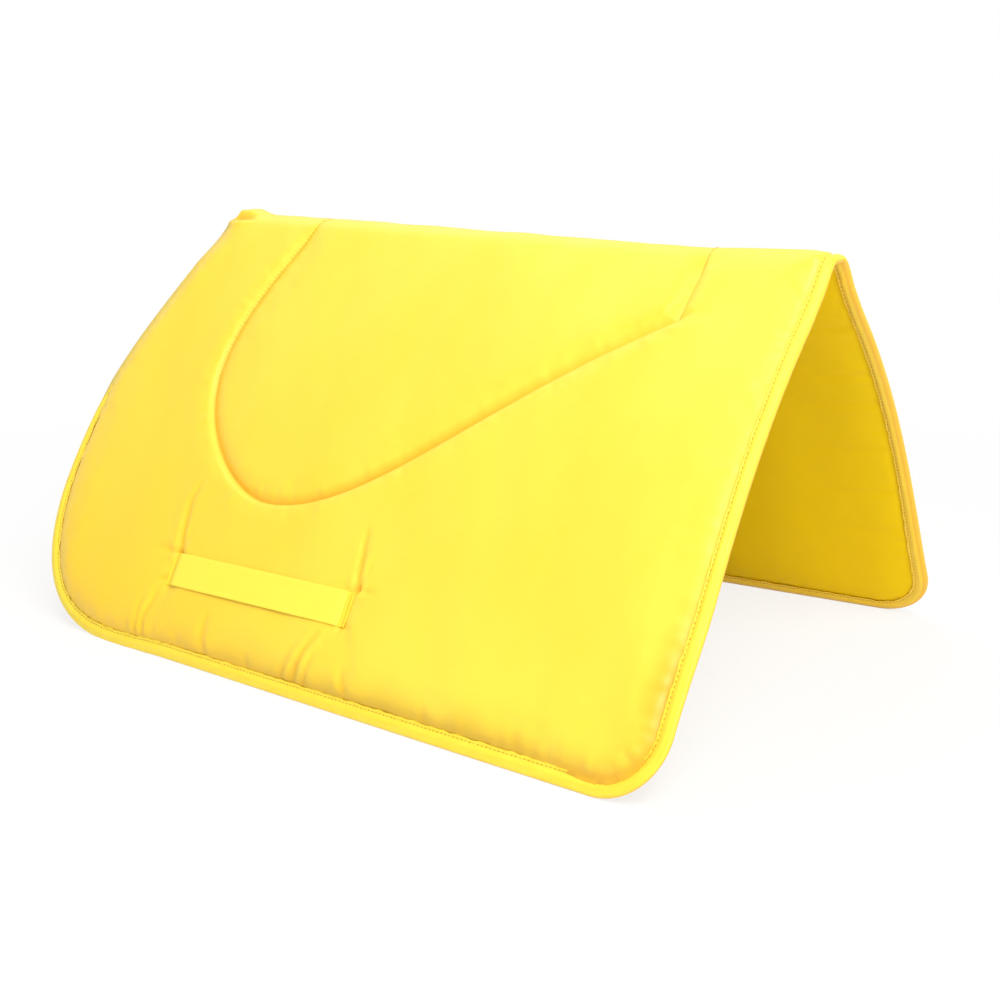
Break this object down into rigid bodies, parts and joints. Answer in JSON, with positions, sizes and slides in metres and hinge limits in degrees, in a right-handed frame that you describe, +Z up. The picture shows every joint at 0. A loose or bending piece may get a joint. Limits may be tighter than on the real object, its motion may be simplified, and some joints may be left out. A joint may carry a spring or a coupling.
{
  "type": "western saddle pad",
  "caption": "Quilted satin saddle pad with a foam core, bound edge, seat-shaped seam and girth keepers, standing folded along its spine.",
  "frame": {"origin": "on the floor, midway along the pad's overall length and midway between its two hems", "axes": "+X towards the rear of the pad, +Y to the off side (the horse's right), +Z up"},
  "size_m": [0.7664, 0.567, 0.3922],
  "materials": {
    "cover_satin": "yellow polyester satin, soft sheen",
    "foam": "pale open-cell foam wadding, matte",
    "lining_satin": "yellow polyester satin lining, soft sheen",
    "binding_tape": "yellow woven binding tape, low sheen",
    "keeper_webbing": "yellow woven webbing, matte"
  },
  "bodies": {
    "near_side": {"near_cover": "cover_satin", "near_foam": "foam", "near_lining": "lining_satin", "near_binding": "binding_tape", "near_girth_keeper": "keeper_webbing", "spine_cover": "cover_satin", "spine_foam": "foam", "spine_lining": "lining_satin", "front_spine_binding": "binding_tape", "rear_spine_binding": "binding_tape"},
    "off_side": {"off_cover": "cover_satin", "off_foam": "foam", "off_lining": "lining_satin", "off_binding": "binding_tape", "off_girth_keeper": "keeper_webbing"}
  },
  "joints": [
    {"name": "spine_fold", "type": "hinge", "parent": "near_side", "child": "off_side", "pos_m": [-0.0228, 0, 0.37947], "axis": [0.9998, 0, -0.0178], "range_deg": [-56, 110], "deforming": ["spine_cover", "spine_foam", "spine_lining", "front_spine_binding", "rear_spine_binding"]}
  ]
}
